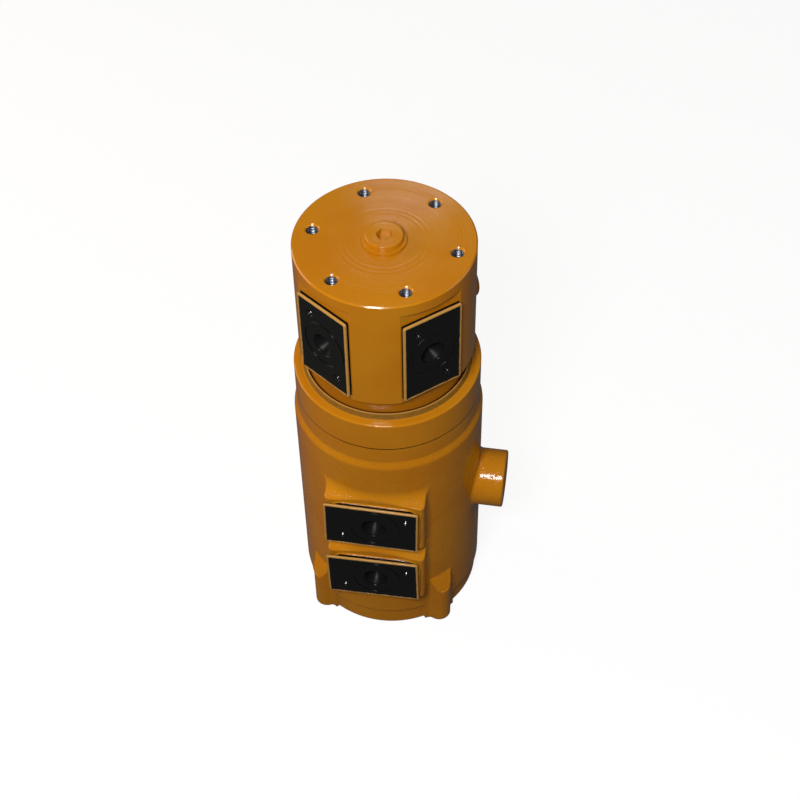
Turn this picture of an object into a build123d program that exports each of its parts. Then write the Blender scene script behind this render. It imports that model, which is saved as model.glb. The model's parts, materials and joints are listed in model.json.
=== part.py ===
from build123d import *
import os
from math import acos, cos, degrees, hypot, radians, sin, sqrt

# Three-circuit hydraulic rotary union, in millimetres.
# The origin is the centre of the housing's base face and +Z is the axis of rotation.
# The housing stands still, and the rotor turns in it with its head on top.
# Circuits a and b run from the rotor's two flange ports to the housing's two pads.
# Circuit c runs down the middle of the rotor to the housing's threaded side port.

# ---- Housing barrel -------------------------------------------------------
housing_height = 264.0
housing_radius = 83.5
housing_neck_radius = 80.6
housing_neck_length = 18.0
shoulder_rise = 8.0  # height over which the barrel narrows to its neck
base_band_radius = 81.2
base_band_height = 20.0
base_band_step = 2.2  # height of the slope from the base band to the barrel
base_chamfer = 1.5

# ---- Housing pads, for one-inch flanges lying down --------------------------
pad_angle = -90.0  # the pads face -Y
pad_stand_out = 4.2  # from the barrel's surface out to the pads' machined faces
pad_width = 82.0
pad_height = 54.0
pad_corner_radius = 13.0
pad_relief = 1.4  # how far a machined pad stands out of its cast block
block_width = 89.0
block_height = 58.0
block_corner_radius = 4.0
block_side_blend = 9.0
block_top_blend = 14.0
block_bottom_blend = 5.0
lower_pad_height = 87.0
pad_spacing = 77.0

# ---- Housing side port and feet ---------------------------------------------
boss_angle = 0.0  # the threaded side port faces +X
boss_radius = 26.5
boss_reach = 107.5
boss_drop = 23.0  # from the upper pad's centre down to the side port's
boss_root_blend = 4.0
boss_edge_chamfer = 1.0
foot_spacing_x = 110.0
foot_inset = 2.1  # from the barrel's surface in to the feet's bolt circle
foot_radius = 11.0
foot_outer_height = 45.0
foot_root_height = 63.0
foot_root_blend = 5.0
foot_lip = 1.0  # level strip at the outer end of a foot's sloping top
foot_tap_radius = 4.25
foot_tap_depth = 20.0

# ---- Rotor ------------------------------------------------------------------
head_radius = 75.0
head_height = 114.0
head_chamfer = 1.2
neck_radius = 69.0
neck_exposure = 21.7  # from the gland ring up to the head
journal_radius = 60.0
rotor_rest_angle = -4.5  # how far the rotor stands turned about +Z at rest
head_bolt_circle = 120.0
head_bolt_count = 6
head_bolt_depth = 24.0
flat_distance = 69.5  # from the axis to each milled port flat
flat_ledge_drop = 11.0  # from the top face down to the flat's ledge
rotor_port_drop = 66.0  # from the top face down to the port centres
port_a_angle = -120.0  # angles are measured on the rotor
port_b_angle = -45.0
side_plug_angle = 45.0
side_plug_drop = 81.0
spotface_distance = 72.0
spotface_margin = 1.2

# ---- Ports, tapped holes and drillings --------------------------------------
flange_long_spacing = 57.15
flange_short_spacing = 27.76
flange_port_radius = 12.5
flange_port_depth = 16.0
m12_tap_radius = 5.1
m12_mouth_radius = 6.3
countersink_angle = 90.0
m12_port_depth = 16.0
side_port_tap_radius = 15.15
side_port_mouth_radius = 17.0
side_port_depth = 23.0
passage_radius = 9.0
passage_offset = 36.0
centre_passage_radius = 10.0
cross_drill_radius = 7.5
upper_drill_radius = 7.0
upper_drill_rise = 4.0  # the upper pad's drilling steps up, clear of the seal below
side_drill_drop = 2.0  # the side port's drilling steps down, clear of the seal above

# ---- Galleries, seals and guides --------------------------------------------
groove_depth = 6.0
gallery_width = 16.0
seal_land = 8.0  # plain bore between a gallery and the outermost seals
seal_groove_width = 6.0
slide_ring_thickness = 2.5
energiser_thickness = 3.2
energiser_width = 4.6
guide_thickness = 2.5
guide_width = 15.0
upper_guide_drop = 30.0
lower_guide_rise = 15.0
journal_clearance = 0.10
guide_clearance = 0.05
fitted_clearance = 0.05
end_float = 0.2

# ---- Gland ring and wiper ---------------------------------------------------
gland_radius = 81.0
gland_height = 30.3
gland_bore_gap = 1.2
gland_edge_round = 1.5
gland_spigot_depth = 6.0
gland_spigot_wall = 2.8
upper_washer_thickness = 3.0
joint_ring_radius = 77.0
joint_ring_width = 2.6
joint_groove_depth = 2.0
wiper_groove_depth = 9.0
wiper_groove_width = 5.3
wiper_sink = 0.4  # from the gland ring's top down to the wiper's body
wiper_heel_gap = 0.8
wiper_lip_rise = 4.7
wiper_lip_gap = 1.5
wiper_lip_thickness = 0.9
wiper_lip_root = 2.4
scraper_gap = 0.3
scraper_drop = 2.0
scraper_edge = 0.8
scraper_taper = 2.4

# ---- Lower end --------------------------------------------------------------
chamber_radius = 70.0
chamber_depth = 28.0
lower_washer_thickness = 2.5
washer_bore_gap = 0.6
retainer_radius = 66.0
retainer_thickness = 10.0
retainer_spigot_radius = 15.0
retainer_spigot_length = 4.0
retainer_bolt_circle = 102.0
retainer_bolt_count = 6
m8_radius = 4.0
m8_head_radius = 6.5
m8_head_height = 5.0
m8_socket_radius = 2.9
m8_grip = 14.0
gallery_plug_length = 12.0
end_cover_height = 6.3
end_cover_thickness = 7.0
end_cover_recess_radius = 46.0
end_cover_recess_depth = 2.5
cover_ring_width = 3.0
cover_ring_depth = 2.3
circlip_thickness = 3.0
circlip_groove_depth = 2.5
circlip_width = 5.5
circlip_gap_angle = 16.0
circlip_ear_radius = 4.0
circlip_hole_radius = 1.5

# ---- Plugs ------------------------------------------------------------------
top_plug_radius = 15.6
top_plug_collar = 5.0
top_plug_tap_radius = 12.1
top_plug_port_depth = 20.0
top_plug_shank = 15.0
top_plug_socket_radius = 6.9
top_plug_socket_depth = 6.0
top_seal_radius = 18.2
top_seal_thickness = 2.5
top_spotface_margin = 0.8
top_spotface_depth = 0.4
side_plug_radius = 19.8
side_plug_collar = 6.5
side_plug_shank = 15.0
side_plug_socket_radius = 9.8
side_plug_socket_depth = 8.0
side_seal_radius = 20.6
side_seal_thickness = 2.3
plug_edge_round = 1.0

# ---- Moulded port covers ----------------------------------------------------
cover_length = 86.5
cover_breadth = 54.5
cover_thickness = 1.8
cover_stand_off = 2.0
cover_corner_radius = 2.0
cover_lip_width = 1.8  # raised lip along a plate's edges
cover_lip_rise = 0.4
cover_edge_round = 0.9
cover_mouth_round = 0.8
housing_cover_length = 84.5
housing_cover_shift = 2.5  # how far the housing covers' plates reach past their plugs to the left
cover_rib_radius = 23.0
cover_rib_width = 2.5
cover_bead_height = 0.7
cover_plug_clearance = 0.2
cover_plug_wall = 1.4
cover_plug_length = 12.0
cover_peg_radius = 4.5
cover_peg_wall = 1.0
cover_peg_length = 8.0
cover_floor = 1.5
upper_cover_tilt = -0.8  # the housing covers were pushed in a little askew
lower_cover_tilt = 1.0

near = 0.01  # a corner this near a surface counts as lying on it

# ---- Places worked out from the sizes above ---------------------------------
inside_wall = journal_radius + 2 * groove_depth  # outer forms start here, inside the barrel's wall
upper_pad_height = lower_pad_height + pad_spacing
pad_face_distance = housing_radius + pad_stand_out
boss_height = upper_pad_height - boss_drop
gland_top = housing_height + gland_height
head_base = gland_top + neck_exposure
rotor_top = head_base + head_height
rotor_port_height = rotor_top - rotor_port_drop
side_plug_height = rotor_top - side_plug_drop
bore_radius = journal_radius + journal_clearance
groove_radius = journal_radius + groove_depth
counterbore_floor = housing_height - gland_spigot_depth
gland_bore_radius = neck_radius + gland_bore_gap
spigot_radius = gland_bore_radius + gland_spigot_wall
rotor_shoulder = counterbore_floor + upper_washer_thickness + end_float
journal_end = chamber_depth - lower_washer_thickness - end_float
wiper_floor = gland_top - wiper_groove_depth
wiper_groove_radius = gland_bore_radius + wiper_groove_width
guide_groove_radius = journal_radius + guide_thickness
circlip_groove_radius = chamber_radius + circlip_groove_depth
circlip_bottom = end_cover_height - circlip_thickness
port_angles = (rotor_rest_angle + port_a_angle, rotor_rest_angle + port_b_angle)
plug_angle = rotor_rest_angle + side_plug_angle

gallery_a = upper_pad_height + upper_drill_rise
gallery_b = lower_pad_height
gallery_c = boss_height - side_drill_drop
seal_reach = gallery_width / 2 + seal_land
seal_heights = (
    gallery_a + seal_reach,
    (gallery_a + gallery_c) / 2,
    (gallery_c + gallery_b) / 2,
    gallery_b - seal_reach,
)
guide_heights = {
    "upper": counterbore_floor - upper_guide_drop,
    "lower": chamber_depth + lower_guide_rise,
}

foot_distance = housing_radius - foot_inset
foot_spacing_y = 2 * sqrt(foot_distance**2 - (foot_spacing_x / 2) ** 2)
foot_angle = degrees(acos(foot_spacing_x / 2 / foot_distance))
foot_reach = foot_distance + foot_radius


def facing(angle, distance, height):
    """Plane square to a horizontal radius: its x runs round the axis and its y runs up."""
    turn = radians(angle)
    outward = Vector(cos(turn), sin(turn), 0)
    around = Vector(-sin(turn), cos(turn), 0)
    return Plane(origin=outward * distance + Vector(0, 0, height), x_dir=around, z_dir=outward)


def flange_pattern(upright):
    """The four bolts of a one-inch flange, standing upright or lying down."""
    if upright:
        return GridLocations(flange_short_spacing, flange_long_spacing, 2, 2)
    return GridLocations(flange_long_spacing, flange_short_spacing, 2, 2)


def finish(piece, label):
    """Name a finished piece and write it out."""
    piece.part.label = label
    export_step(piece.part, f"parts/{label}.step")


os.makedirs("parts", exist_ok=True)

# ============================ Standing half ==================================


def cast_block(height):
    """The cast block behind a pad, blended into the barrel above, below and beside it."""
    low = height - block_height / 2
    high = height + block_height / 2
    front = pad_face_distance - pad_relief
    with BuildPart() as block:
        with BuildSketch(Plane.XZ):
            with BuildLine():
                below = CenterArc(
                    (housing_radius + block_bottom_blend, low - block_bottom_blend),
                    block_bottom_blend,
                    90,
                    90,
                )
                above = CenterArc(
                    (housing_radius + block_top_blend, high + block_top_blend),
                    block_top_blend,
                    180,
                    90,
                )
                Polyline(
                    below @ 0,
                    (2 * housing_radius, low),
                    (2 * housing_radius, high),
                    above @ 1,
                )
                Polyline(
                    above @ 0,
                    (inside_wall, high + block_top_blend),
                    (inside_wall, low - block_bottom_blend),
                    below @ 1,
                )
            make_face()
        revolve(axis=Axis.Z)
        with BuildSketch(Plane.XY.offset(low - block_bottom_blend)) as outline:
            Circle(housing_radius)
            with Locations((0, -front / 2)):
                Rectangle(block_width, front)
            fillet(outline.vertices().group_by(Axis.Y)[0], block_corner_radius)
            on_side = outline.vertices().filter_by(
                lambda v: abs(abs(v.X) - block_width / 2) < near
            )
            fillet(on_side.group_by(Axis.Y)[-1], block_side_blend)
            with Locations((0, housing_radius / 2)):
                Rectangle(3 * housing_radius, housing_radius, mode=Mode.SUBTRACT)
        extrude(
            amount=block_height + block_bottom_blend + block_top_blend,
            mode=Mode.INTERSECT,
        )
    return block.part


blocks = [cast_block(height) for height in (upper_pad_height, lower_pad_height)]

# One foot is a round bolt boss with a sloping top, and the others mirror it.
with BuildPart() as feet:
    foot_plan = Plane(origin=(0, 0, 0), x_dir=(cos(radians(foot_angle)), sin(radians(foot_angle)), 0))
    with BuildSketch(foot_plan) as plan:
        Circle(housing_radius)
        with Locations((foot_distance / 2, 0)):
            Rectangle(foot_distance, 2 * foot_radius)
        with Locations((foot_distance, 0)):
            Circle(foot_radius)
        roots = plan.vertices().filter_by(
            lambda v: abs(hypot(v.X, v.Y) - housing_radius) < near
        )
        fillet(roots, foot_root_blend)
    extrude(amount=foot_root_height)
    with BuildSketch(facing(foot_angle - 90, 0, 0)):
        with BuildLine():
            Polyline(
                (inside_wall, 0),
                (foot_reach, 0),
                (foot_reach, foot_outer_height),
                (foot_reach - foot_lip, foot_outer_height),
                (housing_radius, foot_root_height),
                (inside_wall, foot_root_height),
                close=True,
            )
        make_face()
    extrude(amount=foot_radius + foot_root_blend, both=True, mode=Mode.INTERSECT)
    mirror(about=Plane.XZ)
    mirror(about=Plane.YZ)

with BuildPart() as housing:
    neck_base = housing_height - housing_neck_length
    with BuildSketch(Plane.XZ):
        with BuildLine():
            Polyline(
                (inside_wall, 0),
                (base_band_radius - base_chamfer, 0),
                (base_band_radius, base_chamfer),
                (base_band_radius, base_band_height),
                (housing_radius, base_band_height + base_band_step),
                (housing_radius, neck_base - shoulder_rise),
            )
            shoulder = Spline(
                (housing_radius, neck_base - shoulder_rise),
                (housing_neck_radius, neck_base),
                tangents=((0, 1), (-0.2, 1)),
            )
            Polyline(
                shoulder @ 1,
                (housing_neck_radius, housing_height),
                (inside_wall, housing_height),
                (inside_wall, 0),
            )
        make_face()
    revolve(axis=Axis.Z)

    # Side port boss, blended into the barrel.
    with BuildSketch(facing(boss_angle, boss_reach, boss_height)):
        Circle(boss_radius)
    extrude(amount=inside_wall - boss_reach)
    boss_root = housing.edges().filter_by(
        lambda e: inside_wall < e.center().X < housing_radius
        and abs(e.center().Z - boss_height) < boss_root_blend
    )
    fillet(boss_root.sort_by(SortBy.LENGTH)[-1:], boss_root_blend)
    chamfer(housing.edges().group_by(Axis.X)[-1], boss_edge_chamfer)

    # Pads on their cast blocks, and feet.
    for height, block in zip((upper_pad_height, lower_pad_height), blocks):
        add(block)
        with BuildSketch(facing(pad_angle, pad_face_distance, height)):
            RectangleRounded(pad_width, pad_height, pad_corner_radius)
        extrude(amount=-2 * pad_relief)
    add(feet.part)

    # Bore, counterbore, chamber, galleries, and grooves for seals, guides and circlip.
    with BuildSketch(Plane.XZ):
        bands = [
            (bore_radius, 0, housing_height),
            (spigot_radius + fitted_clearance, counterbore_floor, housing_height),
            (chamber_radius, 0, chamber_depth),
            (
                circlip_groove_radius,
                circlip_bottom - fitted_clearance,
                circlip_bottom + circlip_thickness + fitted_clearance,
            ),
        ]
        for gallery in (gallery_a, gallery_b, gallery_c):
            bands.append((groove_radius, gallery - gallery_width / 2, gallery + gallery_width / 2))
        for seal in seal_heights:
            bands.append((groove_radius, seal - seal_groove_width / 2, seal + seal_groove_width / 2))
        for guide in guide_heights.values():
            reach = guide_width / 2 + fitted_clearance
            bands.append((guide_groove_radius, guide - reach, guide + reach))
        for radius, low, high in bands:
            with Locations((0, low)):
                Rectangle(radius, high - low, align=(Align.MIN, Align.MIN))
    revolve(axis=Axis.Z, mode=Mode.SUBTRACT)

    # Groove for the joint ring in the housing's upper end.
    with BuildSketch(Plane.XY.offset(housing_height)):
        Circle(joint_ring_radius + joint_ring_width / 2 + fitted_clearance)
        Circle(joint_ring_radius - joint_ring_width / 2 - fitted_clearance, mode=Mode.SUBTRACT)
    extrude(amount=-joint_groove_depth, mode=Mode.SUBTRACT)

    # Flange ports a and b, each with its drilling into a gallery.
    for height, gallery, drill_radius in (
        (upper_pad_height, gallery_a, upper_drill_radius),
        (lower_pad_height, gallery_b, cross_drill_radius),
    ):
        with BuildSketch(facing(pad_angle, pad_face_distance, height)):
            Circle(flange_port_radius)
        extrude(amount=-flange_port_depth, mode=Mode.SUBTRACT)
        with BuildSketch(facing(pad_angle, pad_face_distance, height)):
            with flange_pattern(upright=False):
                Circle(m12_tap_radius)
        extrude(amount=-m12_port_depth, mode=Mode.SUBTRACT)
        with BuildSketch(facing(pad_angle, pad_face_distance, gallery)):
            Circle(drill_radius)
        extrude(amount=bore_radius + groove_depth / 2 - pad_face_distance, mode=Mode.SUBTRACT)

    # Side port c, with its drilling into the middle gallery.
    with Locations(facing(boss_angle, boss_reach, boss_height)):
        CounterSinkHole(
            side_port_tap_radius,
            side_port_mouth_radius,
            side_port_depth,
            countersink_angle,
        )
    with BuildSketch(facing(boss_angle, boss_reach, gallery_c)):
        Circle(cross_drill_radius)
    extrude(amount=bore_radius + groove_depth / 2 - boss_reach, mode=Mode.SUBTRACT)

    # Tapped holes in the feet, from below.
    with BuildSketch(Plane.XY):
        with GridLocations(foot_spacing_x, foot_spacing_y, 2, 2):
            Circle(foot_tap_radius)
    extrude(amount=foot_tap_depth, mode=Mode.SUBTRACT)
finish(housing, "housing")

# Gland ring: a spigot below centres it in the housing, and a groove on top holds the wiper.
with BuildPart() as gland_ring:
    with BuildSketch(Plane.XZ):
        with BuildLine():
            Polyline(
                (gland_bore_radius, wiper_floor),
                (gland_bore_radius, counterbore_floor + end_float),
                (spigot_radius, counterbore_floor + end_float),
                (spigot_radius, housing_height),
                (gland_radius, housing_height),
                (gland_radius, gland_top),
                (wiper_groove_radius, gland_top),
                (wiper_groove_radius, wiper_floor),
                close=True,
            )
        make_face()
    revolve(axis=Axis.Z)
    rim = gland_ring.faces().sort_by(Axis.Z)[-1].outer_wire()
    fillet(rim.edges(), gland_edge_round)
finish(gland_ring, "gland_ring")

# Wiper: an inner lip scrapes the neck, and a taller outer lip sheds water.
with BuildPart() as dust_wiper:
    wiper_outer = wiper_groove_radius - fitted_clearance
    wiper_heel = gland_bore_radius + wiper_heel_gap
    wiper_body_top = gland_top - wiper_sink
    wiper_lip_top = gland_top + wiper_lip_rise
    wiper_lip_inner = neck_radius + wiper_lip_gap
    scraper_inner = neck_radius + scraper_gap
    scraper_top = gland_top - scraper_drop
    scraper_bottom = scraper_top - scraper_edge
    with BuildSketch(Plane.XZ):
        with BuildLine():
            Polyline(
                (wiper_heel, wiper_floor),
                (wiper_outer, wiper_floor),
                (wiper_outer, wiper_body_top),
                (wiper_lip_inner + wiper_lip_root, wiper_body_top),
                (wiper_lip_inner + wiper_lip_thickness, wiper_lip_top),
                (wiper_lip_inner, wiper_lip_top),
                (wiper_lip_inner, wiper_body_top),
                (scraper_inner, scraper_top),
                (scraper_inner, scraper_bottom),
                (wiper_heel, scraper_bottom - scraper_taper),
                close=True,
            )
        make_face()
    revolve(axis=Axis.Z)
finish(dust_wiper, "dust_wiper")


def turned_ring(inner, outer, low, high, label):
    """A plain turned ring on the axis."""
    with BuildPart() as ring:
        with BuildSketch(Plane.XY.offset(low)):
            Circle(outer)
            Circle(inner, mode=Mode.SUBTRACT)
        extrude(amount=high - low)
    finish(ring, label)


turned_ring(
    joint_ring_radius - joint_ring_width / 2,
    joint_ring_radius + joint_ring_width / 2,
    housing_height - joint_groove_depth,
    housing_height,
    "joint_ring",
)
turned_ring(
    journal_radius + washer_bore_gap,
    gland_bore_radius - washer_bore_gap,
    counterbore_floor,
    counterbore_floor + upper_washer_thickness,
    "upper_thrust_washer",
)
turned_ring(
    journal_radius + washer_bore_gap,
    retainer_radius,
    chamber_depth - lower_washer_thickness,
    chamber_depth,
    "lower_thrust_washer",
)
for name, height in guide_heights.items():
    turned_ring(
        journal_radius + guide_clearance,
        guide_groove_radius - fitted_clearance,
        height - guide_width / 2,
        height + guide_width / 2,
        f"{name}_guide_ring",
    )
for number, height in enumerate(seal_heights, start=1):
    slide_outer = journal_radius + journal_clearance + slide_ring_thickness
    turned_ring(
        journal_radius + journal_clearance,
        slide_outer,
        height - seal_groove_width / 2 + fitted_clearance,
        height + seal_groove_width / 2 - fitted_clearance,
        f"slide_ring_{number}",
    )
    turned_ring(
        slide_outer + fitted_clearance,
        slide_outer + fitted_clearance + energiser_thickness,
        height - energiser_width / 2,
        height + energiser_width / 2,
        f"energiser_ring_{number}",
    )

# End cover: closes the chamber from below, with a ring groove in its edge.
with BuildPart() as end_cover:
    cover_radius = chamber_radius - fitted_clearance
    ring_low = end_cover_height + (end_cover_thickness - cover_ring_width) / 2
    with BuildSketch(Plane.XY.offset(end_cover_height)):
        Circle(cover_radius)
    extrude(amount=end_cover_thickness)
    with BuildSketch(Plane.XY.offset(end_cover_height)):
        Circle(end_cover_recess_radius)
    extrude(amount=end_cover_recess_depth, mode=Mode.SUBTRACT)
    with BuildSketch(Plane.XY.offset(ring_low)):
        Circle(cover_radius)
        Circle(cover_radius - cover_ring_depth, mode=Mode.SUBTRACT)
    extrude(amount=cover_ring_width, mode=Mode.SUBTRACT)
finish(end_cover, "end_cover")
turned_ring(
    cover_radius - cover_ring_depth,
    cover_radius,
    ring_low + fitted_clearance,
    ring_low + cover_ring_width - fitted_clearance,
    "end_cover_ring",
)

# Circlip: an open ring with two pierced ears at its gap.
with BuildPart() as circlip:
    with BuildSketch(Plane.XY.offset(circlip_bottom)):
        circlip_outer = circlip_groove_radius - fitted_clearance
        circlip_inner = circlip_outer - circlip_width
        ear_angle = circlip_gap_angle / 2 + degrees(circlip_ear_radius / circlip_inner)
        Circle(circlip_outer)
        Circle(circlip_inner, mode=Mode.SUBTRACT)
        circlip_gap = 2 * circlip_outer * sin(radians(circlip_gap_angle / 2))
        with Locations((0, circlip_outer)):
            Rectangle(circlip_gap, 4 * circlip_width, mode=Mode.SUBTRACT)
        with PolarLocations(
            circlip_inner, 2, 90 - ear_angle, 2 * ear_angle, endpoint=True
        ):
            Circle(circlip_ear_radius)
            Circle(circlip_hole_radius, mode=Mode.SUBTRACT)
    extrude(amount=circlip_thickness)
finish(circlip, "circlip")

# ============================ Turning half ===================================

with BuildPart() as rotor:
    with BuildSketch(Plane.XZ):
        with BuildLine():
            Polyline(
                (0, journal_end),
                (journal_radius, journal_end),
                (journal_radius, rotor_shoulder),
                (neck_radius, rotor_shoulder),
                (neck_radius, head_base),
                (head_radius, head_base),
                (head_radius, rotor_top - head_chamfer),
                (head_radius - head_chamfer, rotor_top),
                (0, rotor_top),
                close=True,
            )
        make_face()
    revolve(axis=Axis.Z)

    # Milled flats with their flange ports, and the spotface for the side plug.
    flat_height = head_height - flat_ledge_drop
    for angle in port_angles:
        with BuildSketch(facing(angle, flat_distance, head_base + flat_height / 2)):
            Rectangle(2 * head_radius, flat_height)
        extrude(amount=head_radius, mode=Mode.SUBTRACT)
    with BuildSketch(facing(plug_angle, spotface_distance, side_plug_height)):
        Circle(side_seal_radius + spotface_margin)
    extrude(amount=head_radius, mode=Mode.SUBTRACT)
    for angle in port_angles:
        with BuildSketch(facing(angle, flat_distance, rotor_port_height)):
            Circle(flange_port_radius)
        extrude(amount=-flange_port_depth, mode=Mode.SUBTRACT)
        with BuildSketch(facing(angle, flat_distance, rotor_port_height)):
            with flange_pattern(upright=True):
                Circle(m12_tap_radius)
        extrude(amount=-m12_port_depth, mode=Mode.SUBTRACT)
        with BuildSketch(facing(angle, flat_distance, rotor_port_height)):
            Circle(passage_radius)
        extrude(amount=passage_offset - flat_distance, mode=Mode.SUBTRACT)

    # Axial passages a and b, drilled from the lower end, and c, drilled from the top.
    with BuildSketch(Plane.XY.offset(journal_end)):
        for angle in port_angles:
            with PolarLocations(passage_offset, 1, angle):
                Circle(passage_radius)
    extrude(amount=rotor_port_height + passage_radius - journal_end, mode=Mode.SUBTRACT)
    with BuildSketch(Plane.XY.offset(rotor_top)):
        Circle(centre_passage_radius)
    extrude(amount=gallery_c - cross_drill_radius - rotor_top, mode=Mode.SUBTRACT)
    with BuildSketch(Plane.XY.offset(rotor_top)):
        Circle(top_plug_tap_radius)
    extrude(amount=-top_plug_port_depth, mode=Mode.SUBTRACT)
    with BuildSketch(Plane.XY.offset(rotor_top)):
        Circle(top_seal_radius + top_spotface_margin)
    extrude(amount=-top_spotface_depth, mode=Mode.SUBTRACT)

    # Cross drillings from the journal to the passages.
    for angle, height, reach in (
        (port_angles[0], gallery_a, passage_offset),
        (port_angles[1], gallery_b, passage_offset),
        (plug_angle, gallery_c, 0),
    ):
        with BuildSketch(facing(angle, journal_radius, height)):
            Circle(cross_drill_radius)
        extrude(amount=reach - journal_radius, mode=Mode.SUBTRACT)

    # Side plug's tapped hole and its drilling to the centre.
    with BuildSketch(facing(plug_angle, spotface_distance, side_plug_height)):
        Circle(side_port_tap_radius)
    extrude(amount=-side_port_depth, mode=Mode.SUBTRACT)
    with BuildSketch(facing(plug_angle, spotface_distance, side_plug_height)):
        Circle(passage_radius)
    extrude(amount=-spotface_distance, mode=Mode.SUBTRACT)

    # Tapped holes in the top face and in the journal's end.
    with Locations((0, 0, rotor_top)):
        with PolarLocations(head_bolt_circle / 2, head_bolt_count, rotor_rest_angle):
            CounterSinkHole(m12_tap_radius, m12_mouth_radius, head_bolt_depth, countersink_angle)
    with BuildSketch(Plane.XY.offset(journal_end)):
        with PolarLocations(retainer_bolt_circle / 2, retainer_bolt_count, rotor_rest_angle):
            Circle(m8_radius + fitted_clearance)
    extrude(amount=m8_grip, mode=Mode.SUBTRACT)
    with BuildSketch(Plane.XY.offset(journal_end)):
        Circle(retainer_spigot_radius + fitted_clearance)
    extrude(amount=retainer_spigot_length + end_float, mode=Mode.SUBTRACT)
finish(rotor, "rotor")

# Retainer: holds the rotor up against the lower thrust washer.
with BuildPart() as retainer_disc:
    retainer_bottom = journal_end - retainer_thickness
    with BuildSketch(Plane.XY.offset(retainer_bottom)):
        Circle(retainer_radius)
    extrude(amount=retainer_thickness)
    with BuildSketch(Plane.XY.offset(journal_end)):
        Circle(retainer_spigot_radius)
    extrude(amount=retainer_spigot_length)
    with BuildSketch(Plane.XY.offset(journal_end)):
        with PolarLocations(retainer_bolt_circle / 2, retainer_bolt_count, rotor_rest_angle):
            Circle(m8_radius + fitted_clearance)
    extrude(amount=-retainer_thickness, mode=Mode.SUBTRACT)
    with BuildSketch(Plane.XY.offset(retainer_bottom)):
        with PolarLocations(retainer_bolt_circle / 2, retainer_bolt_count, rotor_rest_angle):
            Circle(m8_head_radius + fitted_clearance)
    extrude(amount=m8_head_height, mode=Mode.SUBTRACT)
finish(retainer_disc, "retainer_disc")

# Low-head cap screws that hold the retainer.
with BuildPart() as retainer_screws:
    head_plane = Plane.XY.offset(retainer_bottom)
    with BuildSketch(head_plane):
        with PolarLocations(retainer_bolt_circle / 2, retainer_bolt_count, rotor_rest_angle):
            Circle(m8_head_radius)
    extrude(amount=m8_head_height)
    with BuildSketch(head_plane):
        with PolarLocations(retainer_bolt_circle / 2, retainer_bolt_count, rotor_rest_angle):
            Circle(m8_radius)
    extrude(amount=retainer_thickness + m8_grip - end_float)
    with BuildSketch(head_plane):
        with PolarLocations(retainer_bolt_circle / 2, retainer_bolt_count, rotor_rest_angle):
            RegularPolygon(m8_socket_radius, 6)
    extrude(amount=m8_head_height / 2, mode=Mode.SUBTRACT)
finish(retainer_screws, "retainer_screws")

# Plugs pressed into the open lower ends of passages a and b.
with BuildPart() as gallery_plugs:
    with BuildSketch(Plane.XY.offset(journal_end)):
        for angle in port_angles:
            with PolarLocations(passage_offset, 1, angle):
                Circle(passage_radius - fitted_clearance)
    extrude(amount=gallery_plug_length)
finish(gallery_plugs, "gallery_plugs")


def port_plug(face, collar_radius, collar, shank_radius, shank, socket_radius, socket, label):
    """Collared plug with a hexagon socket. Its collar sits on the given face."""
    with BuildPart() as plug:
        with BuildSketch(face):
            Circle(collar_radius)
        extrude(amount=collar)
        collar_top = plug.faces().sort_by(Axis(face.origin, face.z_dir))[-1]
        fillet(collar_top.edges(), plug_edge_round)
        with BuildSketch(face):
            Circle(shank_radius)
        extrude(amount=-shank)
        with BuildSketch(face.offset(collar)):
            RegularPolygon(socket_radius, 6)
        extrude(amount=-socket, mode=Mode.SUBTRACT)
    finish(plug, label)


def sealing_washer(face, inner, outer, thickness, label):
    """Flat sealing washer lying on the given face."""
    with BuildPart() as washer:
        with BuildSketch(face):
            Circle(outer)
            Circle(inner, mode=Mode.SUBTRACT)
        extrude(amount=thickness)
    finish(washer, label)


top_spotface = Plane.XY.offset(rotor_top - top_spotface_depth)
spotface = facing(plug_angle, spotface_distance, side_plug_height)
sealing_washer(top_spotface, top_plug_tap_radius, top_seal_radius, top_seal_thickness, "top_seal")
sealing_washer(spotface, side_port_tap_radius, side_seal_radius, side_seal_thickness, "side_seal")
port_plug(
    top_spotface.offset(top_seal_thickness),
    top_plug_radius,
    top_plug_collar,
    top_plug_tap_radius - fitted_clearance,
    top_plug_shank,
    top_plug_socket_radius,
    top_plug_socket_depth,
    "top_plug",
)
port_plug(
    spotface.offset(side_seal_thickness),
    side_plug_radius,
    side_plug_collar,
    side_port_tap_radius - fitted_clearance,
    side_plug_shank,
    side_plug_socket_radius,
    side_plug_socket_depth,
    "side_plug",
)


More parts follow.
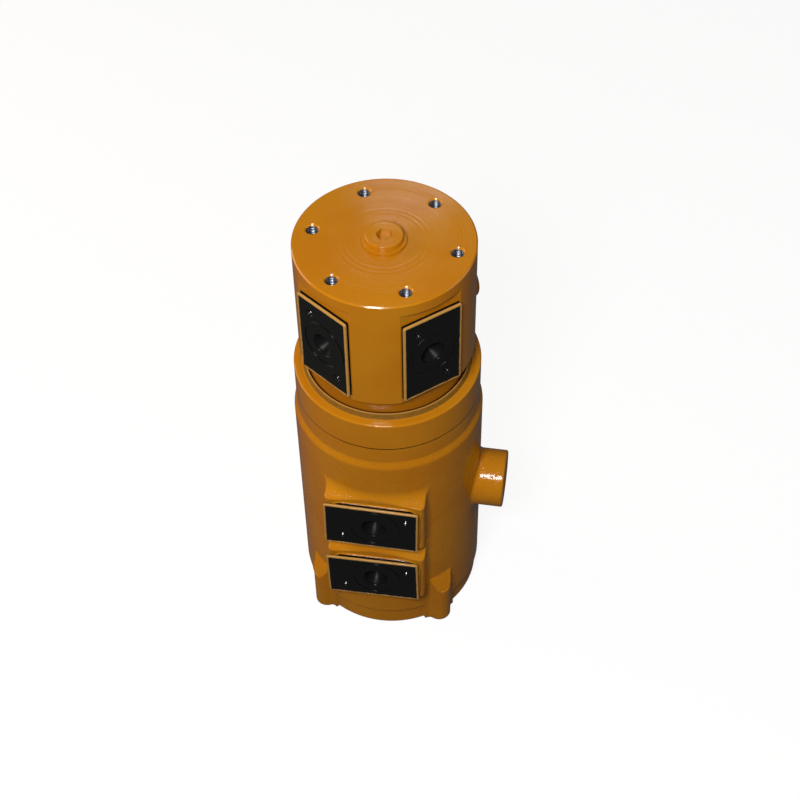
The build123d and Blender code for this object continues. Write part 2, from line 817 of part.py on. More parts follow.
def port_cover(face, upright, tilt, label):
    """Moulded cover for a flange port: a lipped plate on a rib, a hollow plug and two hollow pegs."""
    plug_radius = flange_port_radius - cover_plug_clearance
    shift = 0 if upright else -housing_cover_shift
    if upright:
        width, height = cover_breadth, cover_length
        peg_x, peg_y = flange_short_spacing / 2, -flange_long_spacing / 2
    else:
        width, height = housing_cover_length, cover_breadth
        peg_x, peg_y = flange_long_spacing / 2, flange_short_spacing / 2
    pegs = ((peg_x, peg_y), (-peg_x, -peg_y))
    front_rise = cover_stand_off + cover_thickness
    front = face.offset(front_rise)
    with BuildPart() as cover:
        with BuildSketch(front):
            with Locations((shift, 0)):
                RectangleRounded(width, height, cover_corner_radius, rotation=tilt)
        extrude(amount=-cover_thickness)
        with BuildSketch(front):
            with Locations((shift, 0)):
                RectangleRounded(width, height, cover_corner_radius, rotation=tilt)
                inner_width, inner_height = width - 2 * cover_lip_width, height - 2 * cover_lip_width
                RectangleRounded(
                    inner_width, inner_height, cover_corner_radius, rotation=tilt, mode=Mode.SUBTRACT
                )
        extrude(amount=cover_lip_rise)
        lip_front = cover.faces().sort_by(Axis(face.origin, face.z_dir))[-1]
        fillet(lip_front.outer_wire().edges(), cover_edge_round)
        with BuildSketch(front):
            Circle(cover_rib_radius)
            Circle(cover_rib_radius - cover_rib_width, mode=Mode.SUBTRACT)
        extrude(amount=cover_bead_height)
        with BuildSketch(face):
            Circle(cover_rib_radius)
            Circle(cover_rib_radius - cover_rib_width, mode=Mode.SUBTRACT)
        extrude(amount=cover_stand_off)
        with BuildSketch(face.offset(-cover_plug_length)):
            Circle(plug_radius)
        extrude(amount=cover_plug_length + cover_stand_off)
        with BuildSketch(face.offset(-cover_peg_length)):
            with Locations(*pegs):
                Circle(cover_peg_radius)
        extrude(amount=cover_peg_length + cover_stand_off)
        with BuildSketch(front):
            Circle(plug_radius - cover_plug_wall)
        extrude(amount=cover_floor - cover_plug_length - front_rise, mode=Mode.SUBTRACT)
        with BuildSketch(front):
            with Locations(*pegs):
                Circle(cover_peg_radius - cover_peg_wall)
        extrude(amount=cover_floor - cover_peg_length - front_rise, mode=Mode.SUBTRACT)
        mouths = [
            edge
            for edge in cover.edges().filter_by(GeomType.CIRCLE)
            if edge.radius < plug_radius and abs((edge.arc_center - front.origin).dot(front.z_dir)) < near
        ]
        fillet([edge for edge in mouths if edge.radius > cover_corner_radius], cover_mouth_round)
    finish(cover, label)


for name, height, tilt in (
    ("upper", upper_pad_height, upper_cover_tilt),
    ("lower", lower_pad_height, lower_cover_tilt),
):
    port_cover(facing(pad_angle, pad_face_distance, height), False, tilt, f"housing_cover_{name}")
for name, angle in zip("ab", port_angles):
    port_cover(facing(angle, flat_distance, rotor_port_height), True, 0, f"rotor_cover_{name}")
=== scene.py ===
import json
import math

import bmesh
import bpy
from mathutils import Matrix, Vector

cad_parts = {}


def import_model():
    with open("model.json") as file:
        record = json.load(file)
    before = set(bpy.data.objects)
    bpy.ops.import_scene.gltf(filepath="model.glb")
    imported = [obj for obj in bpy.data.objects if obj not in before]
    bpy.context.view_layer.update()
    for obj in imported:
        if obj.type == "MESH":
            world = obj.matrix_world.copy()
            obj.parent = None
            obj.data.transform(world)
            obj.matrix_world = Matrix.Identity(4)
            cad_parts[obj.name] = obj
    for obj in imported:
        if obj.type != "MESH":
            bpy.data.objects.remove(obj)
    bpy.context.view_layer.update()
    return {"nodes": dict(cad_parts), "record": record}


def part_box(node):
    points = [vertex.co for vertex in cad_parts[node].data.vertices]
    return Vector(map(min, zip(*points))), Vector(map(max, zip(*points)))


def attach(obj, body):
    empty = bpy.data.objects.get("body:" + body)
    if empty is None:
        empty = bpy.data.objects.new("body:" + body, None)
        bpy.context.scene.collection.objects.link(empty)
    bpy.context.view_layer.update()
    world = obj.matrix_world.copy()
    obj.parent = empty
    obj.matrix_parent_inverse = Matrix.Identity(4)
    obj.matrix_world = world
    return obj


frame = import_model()

# Looks of the hydraulic rotary union, in metres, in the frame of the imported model.
# +Z is the axis of rotation, and the two flange pads face -Y.

mounts = {mount["name"]: mount for mount in frame["record"]["mounts"]}
MM = 0.001
UP = Vector((0, 0, 1))
STATOR = "stator"
ROTOR = "rotating_half"


def point(mount):
    """A mount's place."""
    return Vector(mounts[mount]["pos_m"])


def outward(mount):
    """A mount's outward direction."""
    return Vector(mounts[mount]["axis"]).normalized()


def reach(node, centre, direction):
    """How far a node reaches from a point along a direction."""
    piece = frame["nodes"][node]
    return max((piece.matrix_world @ vertex.co - centre).dot(direction) for vertex in piece.data.vertices)


# ---- Colours ---------------------------------------------------------------------------

ENAMEL = (0.50, 0.190, 0.006)
ENAMEL_DEEP = (0.47, 0.162, 0.004)
# Painted shade on the neck: darker all over under the head's overhang, darker still right under the head, and
# a painted shadow line where it runs into the wiper.
NECK_SHADED_ENAMEL = (0.34, 0.115, 0.004)
NECK_SHADE = (0.16, 0.045, 0.002)  # right under the head
NECK_LIP_SHADOW = (0.10, 0.027, 0.001)  # where the neck runs into the wiper
# Bare face behind a cover, made near black: painted shade of the gap.
UNPAINTED_GAP_SHADE = (0.012, 0.007, 0.004)  # in the gap behind a cover
SEAM = (0.04, 0.012, 0.001)
PLASTIC = (0.006, 0.0065, 0.006)
PLASTIC_FLOOR = (0.008, 0.0085, 0.009)
COVER_EDGE = (0.48, 0.25, 0.06)  # enamel rubbed thin over the covers' lips
WIPER = (0.17, 0.082, 0.010)
WIPER_DUSTED = (0.25, 0.112, 0.012)
# Paler band along the top of the wiper's lip: a painted highlight.
WIPER_LIP_HIGHLIGHT = (0.42, 0.21, 0.045)
STEEL = (0.55, 0.55, 0.53)
# Darker, bluer copy of the steel for the threads inside the holes: painted shade of the holes.
THREAD_STEEL_SHADED = (0.20, 0.22, 0.26)
BRONZE = (0.60, 0.36, 0.13)
BRONZE_DULL = (0.52, 0.30, 0.10)
BEARING = (0.10, 0.07, 0.045)
BEARING_DULL = (0.08, 0.055, 0.035)
NITRILE = (0.012, 0.012, 0.012)
NITRILE_DULL = (0.018, 0.018, 0.018)

# ---- Places and depths on the pieces ---------------------------------------------------

# Each cover's port, and how far its plate is turned on it, in degrees.
COVERS = {
    "housing_cover_upper": ("housing_port_a", -0.8),
    "housing_cover_lower": ("housing_port_b", 1.0),
    "rotor_cover_a": ("rotor_port_a", 0),
    "rotor_cover_b": ("rotor_port_b", 0),
}
HOUSING_COVERS = ("housing_cover_upper", "housing_cover_lower")
ROTOR_COVERS = ("rotor_cover_a", "rotor_cover_b")

WIPER_BAND = 2.25 * MM  # how wide the wiper's top is painted over at its outer edge
RING_DEPTH = 0.09 * MM  # of the lathe's rings under the paint
SPECK_DEPTH = 0.38 * MM  # of the overspray on the casting
FINE_DEPTH = 0.012 * MM  # of the paint's finest grain
# How each kind of surface is made: its edges' round, its orange peel's depth and its roughness.
CASTING = {"turned": False, "edge": 2.5 * MM, "peel": 0.3 * MM, "gloss": (0.10, 0.15)}
MACHINED = {"turned": True, "edge": 0.35 * MM, "peel": 0.03 * MM, "gloss": (0.10, 0.14)}

# ---- How fine each texture is, in waves to the metre -----------------------------------

ENAMEL_PATCHES = 14.0
ENAMEL_GLOSS = 60.0
ORANGE_PEEL = 70.0
PEEL_GRAIN = 380.0
FINEST_GRAIN = 900.0
LATHE_RINGS = 420.0
SPECKS = 420.0
SPECK_CLUSTERS = 110.0
LIP_WOBBLE = 120.0
PLASTIC_GLOSS = 90.0
PLASTIC_GRAIN = 500.0
STEEL_STREAKS = 300.0
STEEL_GRAIN = 700.0
RUBBER_DUST = 400.0
RUBBER_GRAIN = 800.0
MOTTLE = 200.0
NOISE_SPAN = (0.3, 0.7)  # where most of a noise's values lie

# ---- Node materials --------------------------------------------------------------------


class Finish:
    """A material's node tree, with short calls that add nodes and join them."""

    def __init__(self, name):
        self.material = bpy.data.materials.new(name)
        self.material.use_nodes = True
        self.tree = self.material.node_tree
        self.shader = self.tree.nodes["Principled BSDF"]

    def join(self, source, socket):
        """Join a source to a socket. A plain number or colour is set on the socket."""
        if isinstance(source, bpy.types.NodeSocket):
            self.tree.links.new(source, socket)
        else:
            socket.default_value = source

    def node(self, kind, inputs=None, **settings):
        """Add a node with its settings, and with its inputs by name or number."""
        node = self.tree.nodes.new(kind)
        for key, value in settings.items():
            setattr(node, key, value)
        for key, value in (inputs or {}).items():
            self.join(value, node.inputs[key])
        return node

    def place(self):
        """Where the shaded point is: in the model's frame at rest, or in an added piece's own frame."""
        return self.node("ShaderNodeTexCoord").outputs["Object"]

    def height(self):
        """How high the shaded point is."""
        return self.node("ShaderNodeSeparateXYZ", {0: self.place()}).outputs[2]

    def from_axis(self):
        """How far the shaded point is from the axis of rotation."""
        level = self.vectors("MULTIPLY", self.place(), (1, 1, 0))["Vector"]
        return self.vectors("LENGTH", level)["Value"]

    def math(self, operation, *values):
        """A sum, product or the like of numbers."""
        return self.node("ShaderNodeMath", dict(enumerate(values)), operation=operation).outputs[0]

    def vectors(self, operation, *values):
        """A sum, product or the like of vectors, as Vector or as Value."""
        return self.node("ShaderNodeVectorMath", dict(enumerate(values)), operation=operation).outputs

    def band(self, value, low, high, bottom=0.0, top=1.0):
        """Smooth step of a value from low to high, going from bottom to top."""
        inputs = {0: value, 1: low, 2: high, 3: bottom, 4: top}
        return self.node("ShaderNodeMapRange", inputs, interpolation_type="SMOOTHSTEP").outputs[0]

    def noise(self, scale, detail=2.0, stretch=None):
        """Noise with so many waves in a metre. Stretch squeezes them along X, Y and Z."""
        place = self.place()
        if stretch is not None:
            place = self.vectors("MULTIPLY", place, stretch)["Vector"]
        inputs = {"Vector": place, "Scale": scale, "Detail": detail}
        return self.node("ShaderNodeTexNoise", inputs).outputs[0]

    def mix(self, factor, first, second):
        """Mix two colours."""
        node = self.node("ShaderNodeMix", data_type="RGBA")
        for index, value in ((0, factor), (6, first), (7, second)):
            if isinstance(value, tuple):
                value = (*value, 1.0)
            self.join(value, node.inputs[index])
        return node.outputs[2]

    def bump(self, height, distance, normal=None):
        """A normal with a height of that many metres laid over it."""
        inputs = {"Height": height, "Distance": distance, "Strength": 1.0}
        if normal is not None:
            inputs["Normal"] = normal
        return self.node("ShaderNodeBump", inputs).outputs[0]

    def soft_edges(self, radius):
        """A normal that rounds off sharp edges, as a coat of paint does."""
        return self.node("ShaderNodeBevel", {"Radius": radius}, samples=6).outputs[0]

    def finish(self, color, roughness, normal, metallic=0.0, specular=0.5):
        """Join everything to the shader."""
        for value, name in (
            (color, "Base Color"),
            (roughness, "Roughness"),
            (metallic, "Metallic"),
            (specular, "Specular IOR Level"),
            (normal, "Normal"),
        ):
            self.join(value, self.shader.inputs[name])
        return self.material


def over_plate(paint, node):
    """How far a shaded point lies inside a cover plate's outline, and how far out from its port's face."""
    mount, lean = COVERS[node]
    centre, out = point(mount), outward(mount)
    around = UP.cross(out)
    turn = math.radians(lean)
    level = around * math.cos(turn) + UP * math.sin(turn)
    upward = UP * math.cos(turn) - around * math.sin(turn)
    offset = paint.vectors("SUBTRACT", paint.place(), centre)["Vector"]

    def along(direction):
        return paint.vectors("DOT_PRODUCT", offset, direction)["Value"]

    insets = [
        paint.math("SUBTRACT", reach(node, centre, direction), along(direction))
        for direction in (level, -level, upward, -upward)
    ]
    inset = paint.math("MINIMUM", paint.math("MINIMUM", *insets[:2]), paint.math("MINIMUM", *insets[2:]))
    return inset, along(out)


# Enamel


def wiper_painted():
    """Radius from which the wiper's top is painted over like the gland ring."""
    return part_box("dust_wiper")[1].x - WIPER_BAND


def head_base():
    """How high the head starts: the rotor's lowest point beyond the wiper's unpainted part."""
    rotor, radius = frame["nodes"]["rotor"], wiper_painted()
    places = [rotor.matrix_world @ vertex.co for vertex in rotor.data.vertices]
    return min(place.z for place in places if place.xy.length > radius)


def painted_neck_shade(paint, height, color):
    """Painted shade on the neck under the head's overhang: the whole neck darker, darkest right under the
    head, with a line of painted shadow where it runs into the wiper.
    """
    ring_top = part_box("gland_ring")[1].z
    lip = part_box("dust_wiper")[1].z
    top = head_base()
    neck = paint.math(
        "MULTIPLY",
        paint.band(height, ring_top, ring_top + 1.0 * MM),
        paint.band(height, top - 0.2 * MM, top, 1.0, 0.0),
    )
    # Painted shade right under the head, then a painted shadow line just above the wiper's lip.
    shade = paint.mix(paint.band(height, top - 5 * MM, top), NECK_SHADED_ENAMEL, NECK_SHADE)
    shade = paint.mix(paint.band(height, lip - 0.6 * MM, lip + 0.3 * MM), NECK_LIP_SHADOW, shade)
    return paint.mix(neck, color, shade)


def seam_line(paint, height, color):
    """The joint under the gland ring, level with the joint ring's top, is a thin dark line."""
    seam_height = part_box("joint_ring")[1].z
    off_seam = paint.math("ABSOLUTE", paint.math("SUBTRACT", height, seam_height))
    return paint.mix(paint.band(off_seam, 0.55 * MM, 1.1 * MM), SEAM, color)


def bare_strip_in_shade(paint, cover, color):
    """No paint reached the face behind a cover; it is coloured near black there, bare metal darkened as
    painted shade of the gap.
    """
    inset, rise = over_plate(paint, cover)
    behind = paint.band(paint.math("ABSOLUTE", rise), 0.3 * MM, 0.5 * MM, 1.0, 0.0)
    hidden = paint.math("MULTIPLY", behind, paint.band(inset, -0.1 * MM, 0.5 * MM))
    return paint.mix(hidden, color, UNPAINTED_GAP_SHADE)


def turned_rings(paint, normal):
    """The lathe's rings show through the paint."""
    inputs = {"W": paint.from_axis(), "Scale": LATHE_RINGS, "Detail": 3.0}
    rings = paint.node("ShaderNodeTexNoise", inputs, noise_dimensions="1D").outputs[0]
    return paint.bump(rings, RING_DEPTH, normal)


def overspray(paint, normal):
    """Specks of overspray stand on the casting, here and there."""
    inputs = {"Vector": paint.place(), "Scale": SPECKS, "Randomness": 1.0}
    specks = paint.node("ShaderNodeTexVoronoi", inputs).outputs["Distance"]
    dome = paint.band(specks, 0.0, 0.42, 1.0, 0.0)
    sparse = paint.band(paint.noise(SPECK_CLUSTERS), 0.45, 0.6)
    return paint.bump(paint.math("MULTIPLY", dome, sparse), SPECK_DEPTH, normal)


def enamel(name, covers, turned, edge, peel, gloss):
    """Yellow-orange enamel over a cast or a turned surface, with paint's slight orange peel."""
    paint = Finish(name)
    height = paint.height()
    color = paint.mix(paint.band(paint.noise(ENAMEL_PATCHES, 3.0), 0.35, 0.7), ENAMEL, ENAMEL_DEEP)
    if turned:
        # Painted shade on the neck under the head.
        color = painted_neck_shade(paint, height, color)
    color = seam_line(paint, height, color)
    for cover in covers:
        color = bare_strip_in_shade(paint, cover, color)

    normal = paint.soft_edges(edge)
    normal = paint.bump(paint.noise(ORANGE_PEEL), peel, normal)
    normal = paint.bump(paint.noise(PEEL_GRAIN), 0.15 * peel, normal)
    normal = turned_rings(paint, normal) if turned else overspray(paint, normal)
    normal = paint.bump(paint.noise(FINEST_GRAIN), FINE_DEPTH, normal)
    roughness = paint.band(paint.noise(ENAMEL_GLOSS), *NOISE_SPAN, *gloss)
    return paint.finish(color, roughness, normal, specular=0.3)


# Plastic, rubber and metal


def moulded_cover(node):
    """Black moulded cover for one port, with paint rubbed over its lip."""
    cover = Finish("finish_" + node)
    inset, rise = over_plate(cover, node)
    wobble = cover.math("MULTIPLY", cover.math("SUBTRACT", cover.noise(LIP_WOBBLE), 0.5), 0.8 * MM)
    near_edge = cover.band(cover.math("ADD", inset, wobble), 1.5 * MM, 2.1 * MM, 1.0, 0.0)
    in_front = cover.band(rise, 2.2 * MM, 2.7 * MM)
    color = cover.mix(cover.math("MULTIPLY", near_edge, in_front), PLASTIC, COVER_EDGE)
    normal = cover.bump(cover.noise(PLASTIC_GRAIN), 0.01 * MM, cover.soft_edges(0.3 * MM))
    roughness = cover.band(cover.noise(PLASTIC_GLOSS), *NOISE_SPAN, 0.14, 0.22)
    return cover.finish(color, roughness, normal, specular=0.2)


def bare_steel(name, tint):
    """Turned or ground steel with faint streaks around Z."""
    steel = Finish(name)
    streaks = steel.noise(STEEL_STREAKS, 3.0, stretch=(1, 1, 6))
    color = steel.mix(steel.band(streaks, *NOISE_SPAN), tint, tuple(0.8 * share for share in tint))
    grain = steel.noise(STEEL_GRAIN, stretch=(1, 1, 4))
    normal = steel.bump(grain, 0.01 * MM, steel.soft_edges(0.2 * MM))
    roughness = steel.band(streaks, *NOISE_SPAN, 0.28, 0.42)
    return steel.finish(color, roughness, normal, metallic=1.0)


def wiper_rubber():
    """Rubber wiper dusted with enamel, with a painted highlight along its lip and paint over its outer part.
    """
    rubber = Finish("wiper")
    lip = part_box("dust_wiper")[1].z
    color = rubber.mix(rubber.band(rubber.noise(RUBBER_DUST, 3.0), 0.25, 0.75), WIPER, WIPER_DUSTED)
    # Painted highlight along the top of the lip.
    color = rubber.mix(rubber.band(rubber.height(), lip - 0.8 * MM, lip - 0.2 * MM), color, WIPER_LIP_HIGHLIGHT)
    radius = wiper_painted()
    painted = rubber.band(rubber.from_axis(), radius - 0.3 * MM, radius + 0.3 * MM)
    color = rubber.mix(painted, color, ENAMEL)
    roughness = rubber.band(painted, 0.0, 1.0, 0.45, 0.14)
    normal = rubber.bump(rubber.noise(RUBBER_GRAIN), 0.03 * MM, rubber.soft_edges(0.3 * MM))
    return rubber.finish(color, roughness, normal, specular=0.35)


def plain_finish(name, first, second, roughness, metallic=0.0, specular=0.5):
    """Finely mottled finish for small and inner pieces."""
    plain = Finish(name)
    color = plain.mix(plain.band(plain.noise(MOTTLE, 3.0), 0.35, 0.65), first, second)
    normal = plain.bump(plain.noise(FINEST_GRAIN), 0.01 * MM)
    return plain.finish(color, roughness, normal, metallic, specular)


def dress(material, nodes):
    """Give CAD nodes their finish."""
    for node in nodes:
        slots = frame["nodes"][node].data.materials
        slots.clear()
        slots.append(material)


steel = bare_steel("bright_steel", STEEL)
bronze = plain_finish("bronze", BRONZE, BRONZE_DULL, 0.35, metallic=1.0)
bearing = plain_finish("bearing_plastic", BEARING, BEARING_DULL, 0.6)
nitrile = plain_finish("nitrile", NITRILE, NITRILE_DULL, 0.55)

dress(enamel("enamel_casting", HOUSING_COVERS, **CASTING), ["housing"])
dress(
    enamel("enamel_machined", ROTOR_COVERS, **MACHINED),
    ["rotor", "gland_ring", "top_plug", "top_seal", "side_plug", "side_seal"],
)
dress(wiper_rubber(), ["dust_wiper"])
dress(steel, ["end_cover", "circlip", "retainer_disc", "retainer_screws", "gallery_plugs"])
dress(bronze, ["upper_thrust_washer", "lower_thrust_washer"])
dress(bearing, ["upper_guide_ring", "lower_guide_ring"])
dress(bearing, [f"slide_ring_{number}" for number in (1, 2, 3, 4)])
dress(nitrile, [f"energiser_ring_{number}" for number in (1, 2, 3, 4)])
dress(nitrile, ["joint_ring", "end_cover_ring"])
for node in COVERS:
    dress(moulded_cover(node), [node])

# ---- Added pieces ----------------------------------------------------------------------


def skin(name, mesh, thickness, side, material, place, direction):
    """A smooth sheet of some thickness. Its own origin lies at a place, and its own Z along a direction."""
    data = bpy.data.meshes.new(name)
    mesh.to_mesh(data)
    mesh.free()
    data.shade_smooth()
    data.materials.append(material)
    piece = bpy.data.objects.new(name, data)
    bpy.context.scene.collection.objects.link(piece)
    thicken = piece.modifiers.new("skin", "SOLIDIFY")
    thicken.thickness = thickness
    thicken.offset = side
    piece.matrix_world = Matrix.Translation(place) @ direction.to_track_quat("Z", "Y").to_matrix().to_4x4()
    return piece


# Dished floors in the covers' hollows

DISH_STEPS = 48
DISH_ROWS = 14
DISH_SKIN = 0.4 * MM
DISH_SINK = 2.0 * MM  # from a cover's front down to its floors' rims
PLUG_HOLLOW = 10.8 * MM
PLUG_FLAT = 0.35  # share of the radius that is flat
PLUG_SLOPES = (45, 64)
PEG_HOLLOW = 3.45 * MM
PEG_FLAT = 0.12
PEG_SLOPES = {STATOR: (44, 57), ROTOR: (50, 67)}
# The pegs sit on the pattern of a one-inch flange, this far from the plug along each way.
PEG_LONG = 57.15 / 2 * MM
PEG_SHORT = 27.76 / 2 * MM


def dish(name, rim, out, radius, flat, slopes, body, material):
    """Dished floor of a hollow: flat in the middle, then steeper and steeper up to its rim."""
    mesh = bmesh.new()
    low, high = slopes
    depth, rings = 0.0, []
    for row in range(DISH_ROWS + 1):
        share = 1 - row / DISH_ROWS * (1 - flat)
        ring = []
        for step in range(DISH_STEPS):
            turn = 2 * math.pi * step / DISH_STEPS
            spot = (share * radius * math.cos(turn), share * radius * math.sin(turn), -depth)
            ring.append(mesh.verts.new(spot))
        rings.append(ring)
        slope = math.radians(low + (high - low) * (share - flat) / (1 - flat))
        depth += radius * (1 - flat) / DISH_ROWS * math.tan(slope)
    for upper, lower in zip(rings, rings[1:]):
        for step in range(DISH_STEPS):
            after = (step + 1) % DISH_STEPS
            mesh.faces.new((upper[step], upper[after], lower[after], lower[step]))
    mesh.faces.new(rings[-1])
    bmesh.ops.recalc_face_normals(mesh, faces=mesh.faces)
    piece = skin(name, mesh, DISH_SKIN, 0, material, rim, out)
    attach(piece, body)


plug_floor = plain_finish("moulded_floor", PLASTIC, PLASTIC_FLOOR, 0.34, specular=0.06)
peg_floor = plain_finish("moulded_peg_floor", PLASTIC, PLASTIC_FLOOR, 0.12, specular=0.6)
for node, (mount, _) in COVERS.items():
    out = outward(mount)
    around = UP.cross(out)
    front = point(mount) + (reach(node, point(mount), out) - DISH_SINK) * out
    if node in ROTOR_COVERS:
        body, peg = ROTOR, PEG_SHORT * around - PEG_LONG * UP
    else:
        body, peg = STATOR, PEG_LONG * around + PEG_SHORT * UP
    dish(node + "_plug_floor", front, out, PLUG_HOLLOW, PLUG_FLAT, PLUG_SLOPES, body, plug_floor)
    for number, offset in ((1, peg), (2, -peg)):
        name = f"{node}_peg_floor_{number}"
        dish(name, front + offset, out, PEG_HOLLOW, PEG_FLAT, PEG_SLOPES[body], body, peg_floor)

# Threads in the tapped holes

THREAD_STEPS = 40
THREAD_SKIN = 0.1 * MM
THREAD_FORM = (0.0, 0.0, 0.45, 0.95, 1.0, 0.95, 0.45, 0.0)  # one pitch, as shares of the depth
HEAD_THREAD = {"pitch": 1.75 * MM, "depth": 0.6 * MM, "length": 22 * MM}
SIDE_THREAD = {"pitch": 2.309 * MM, "depth": 0.8 * MM, "length": 20 * MM}
FOOT_THREAD = {"pitch": 1.5 * MM, "depth": 0.5 * MM, "length": 16 * MM}
FOOT_START = 1.5 * MM  # height above the base where the feet's threads start
FEET = ((1, 1), (-1, 1), (-1, -1), (1, -1))

# The threads' darker steel is painted shade of their holes.
shaded_thread_steel = bare_steel("shaded_thread_steel", THREAD_STEEL_SHADED)


def thread(name, mouth, inward, wall_radius, body, pitch, depth, length, slot="bright_steel"):
    """Internal thread as a thin closed skin inside a tapped hole. Its rows follow the helix."""
    root = wall_radius - 1.5 * THREAD_SKIN
    rows = len(THREAD_FORM)
    count = int(length / pitch * rows)
    mesh = bmesh.new()
    grid = []
    for row in range(count + 1):
        ring = []
        for step in range(THREAD_STEPS):
            travel = min((row / rows + step / THREAD_STEPS) * pitch, length)
            fade = min(1.0, travel / pitch, (length - travel) / pitch)
            radius = root - depth * THREAD_FORM[row % rows] * fade
            turn = 2 * math.pi * step / THREAD_STEPS
            ring.append(mesh.verts.new((radius * math.cos(turn), radius * math.sin(turn), travel)))
        grid.append(ring)
    for row in range(count):
        for step in range(THREAD_STEPS):
            if step + 1 < THREAD_STEPS:
                corners = (grid[row][step], grid[row][step + 1], grid[row + 1][step + 1], grid[row + 1][step])
            elif row + rows + 1 <= count:
                corners = (grid[row][step], grid[row + rows][0], grid[row + rows + 1][0], grid[row + 1][step])
            else:
                continue
            mesh.faces.new(corners)
    piece = skin(name, mesh, THREAD_SKIN, -1, shaded_thread_steel, mouth, inward)
    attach(piece, body)


head = mounts["head_bolts"]["dims"]
head_circle = head["pcd_mm"] / 2 * MM
port_a = outward("rotor_port_a")
first_hole = math.atan2(port_a.y, port_a.x)
for number in range(head["count"]):
    turn = first_hole + 2 * math.pi * number / head["count"]
    mouth = point("head_bolts") + head_circle * Vector((math.cos(turn), math.sin(turn), 0))
    thread(f"head_thread_{number + 1}", mouth, -UP, head["hole_r_mm"] * MM, ROTOR, **HEAD_THREAD)

side = mounts["side_port"]["dims"]
out = outward("side_port")
mouth = point("side_port") + side["length_mm"] / 2 * MM * out
thread("side_port_thread", mouth, -out, side["r_mm"] * MM, STATOR, **SIDE_THREAD)

foot = mounts["foot_bolts"]["dims"]
for number, (across, along) in enumerate(FEET, start=1):
    centre = Vector((across * foot["spacing_x_mm"], along * foot["spacing_y_mm"], 0)) / 2 * MM
    mouth, inward = centre + FOOT_START * UP, -outward("foot_bolts")
    thread(f"foot_thread_{number}", mouth, inward, foot["hole_r_mm"] * MM, STATOR, **FOOT_THREAD)

# ---- Floor, light and camera -----------------------------------------------------------

REFLECTED_GLOW = 0.06  # how bright the set looks in gloss, much dimmer than to the camera
BOUNCE = 0.04  # how much light the floor sends back up
FLOOR_SHADE = 0.12  # the floor's grey to the camera, which takes the object's shadow
FLOOR_GLOW = 0.9  # what the floor glows besides, so that it reads as white
FLOOR_REACH = 12.0  # from the middle to each side
FLOOR_DROP = 0.2 * MM
SKY_LIGHT = 0.07
LAMP_DISTANCE = 1.5
MIDDLE = (0, 0, 0.25)
HEAD_BACK = (0.02, 0.066, 0.43)  # the back of the head's top face

LENS = 73.736  # of a 36 mm wide sensor
EYE = (0.1733, -0.9353, 1.3403)
HEADING = math.radians(9.893)
DOWN = math.radians(49.315)
ROLL = math.radians(-1.123)


def stage_finish(name, shade, glow):
    """Pale matt surface that reads as white to the camera, and dimly so in reflections."""
    pale = Finish(name)
    pale.tree.nodes.remove(pale.shader)
    path = pale.node("ShaderNodeLightPath").outputs
    mirrored = pale.math("MAXIMUM", path["Is Glossy Ray"], path["Is Transmission Ray"])
    seen = pale.math("MAXIMUM", path["Is Camera Ray"], pale.math("MULTIPLY", mirrored, REFLECTED_GLOW))
    color = pale.mix(path["Is Camera Ray"], (BOUNCE, BOUNCE, BOUNCE), (shade, shade, shade))
    matt = pale.node("ShaderNodeBsdfDiffuse", {"Color": color}).outputs[0]
    light = pale.node("ShaderNodeEmission", {"Strength": pale.math("MULTIPLY", seen, glow)}).outputs[0]
    both = pale.node("ShaderNodeAddShader", {0: matt, 1: light}).outputs[0]
    pale.join(both, pale.tree.nodes["Material Output"].inputs["Surface"])
    return pale.material


def floor():
    """Large floor just under the base."""
    far = FLOOR_REACH
    data = bpy.data.meshes.new("floor")
    data.from_pydata([(-far, -far, 0), (far, -far, 0), (far, far, 0), (-far, far, 0)], [], [(0, 1, 2, 3)])
    data.materials.append(stage_finish("floor", FLOOR_SHADE, FLOOR_GLOW))
    ground = bpy.data.objects.new("floor", data)
    ground.location.z = -FLOOR_DROP
    bpy.context.scene.collection.objects.link(ground)


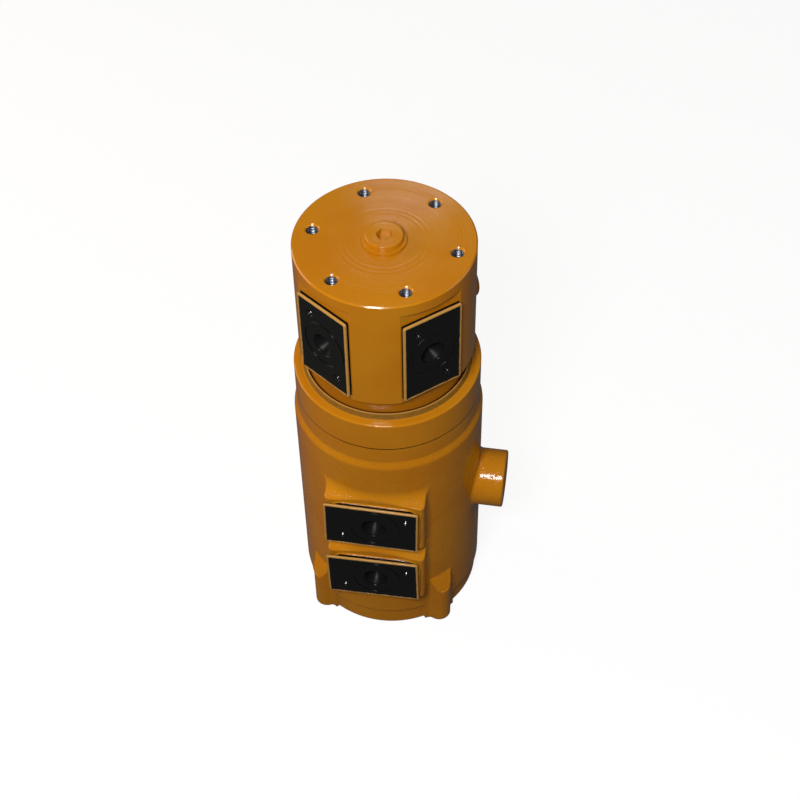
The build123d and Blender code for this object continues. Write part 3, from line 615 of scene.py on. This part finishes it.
def lamp(name, azimuth, elevation, width, watts, height=None, color=(1, 1, 1), aim=MIDDLE):
    """Softbox that faces a point, placed by its direction from it. Without a height it is square."""
    data = bpy.data.lights.new(name, "AREA")
    data.shape = "RECTANGLE"
    data.size = width
    data.size_y = height or width
    data.energy = watts
    data.color = color
    light = bpy.data.objects.new(name, data)
    swing, rise = math.radians(azimuth), math.radians(elevation)
    back = Vector((math.cos(rise) * math.cos(swing), math.cos(rise) * math.sin(swing), math.sin(rise)))
    light.location = Vector(aim) + LAMP_DISTANCE * back
    light.rotation_euler = back.to_track_quat("Z", "Y").to_euler()
    bpy.context.scene.collection.objects.link(light)


def world(strength):
    """White sky that gives little light."""
    sky = bpy.data.worlds.new("studio")
    sky.use_nodes = True
    nodes, links = sky.node_tree.nodes, sky.node_tree.links
    path = nodes.new("ShaderNodeLightPath")
    background = nodes["Background"]
    background.inputs["Color"].default_value = (1, 1, 1, 1)
    level = nodes.new("ShaderNodeMapRange")
    level.inputs["To Min"].default_value = strength
    level.inputs["To Max"].default_value = 1.0
    links.new(path.outputs["Is Camera Ray"], level.inputs["Value"])
    links.new(level.outputs[0], background.inputs["Strength"])
    bpy.context.scene.world = sky


def camera():
    """The photograph's camera: turned by a heading, then down, then rolled."""
    data = bpy.data.cameras.new("camera")
    data.sensor_width = 36.0
    data.lens = LENS
    eye = bpy.data.objects.new("camera", data)
    turn = Matrix.Rotation(HEADING, 4, "Z") @ Matrix.Rotation(math.pi / 2 - DOWN, 4, "X")
    eye.matrix_world = Matrix.Translation(EYE) @ turn @ Matrix.Rotation(ROLL, 4, "Z")
    bpy.context.scene.collection.objects.link(eye)
    bpy.context.scene.camera = eye


camera()
floor()
world(SKY_LIGHT)
lamp("front", -94, 49, width=0.35, watts=18.8)
lamp("flash", -79.5, 52, width=0.05, watts=2.8)
lamp("left", 170, 20, width=1.0, watts=12.8, color=(1.0, 0.8, 0.6))
lamp("right", 10, 30, width=0.8, watts=2.2)
lamp("back", 99.5, 41.6, width=0.18, height=0.05, watts=0.26, aim=HEAD_BACK)
bpy.context.scene.view_settings.view_transform = "Standard"
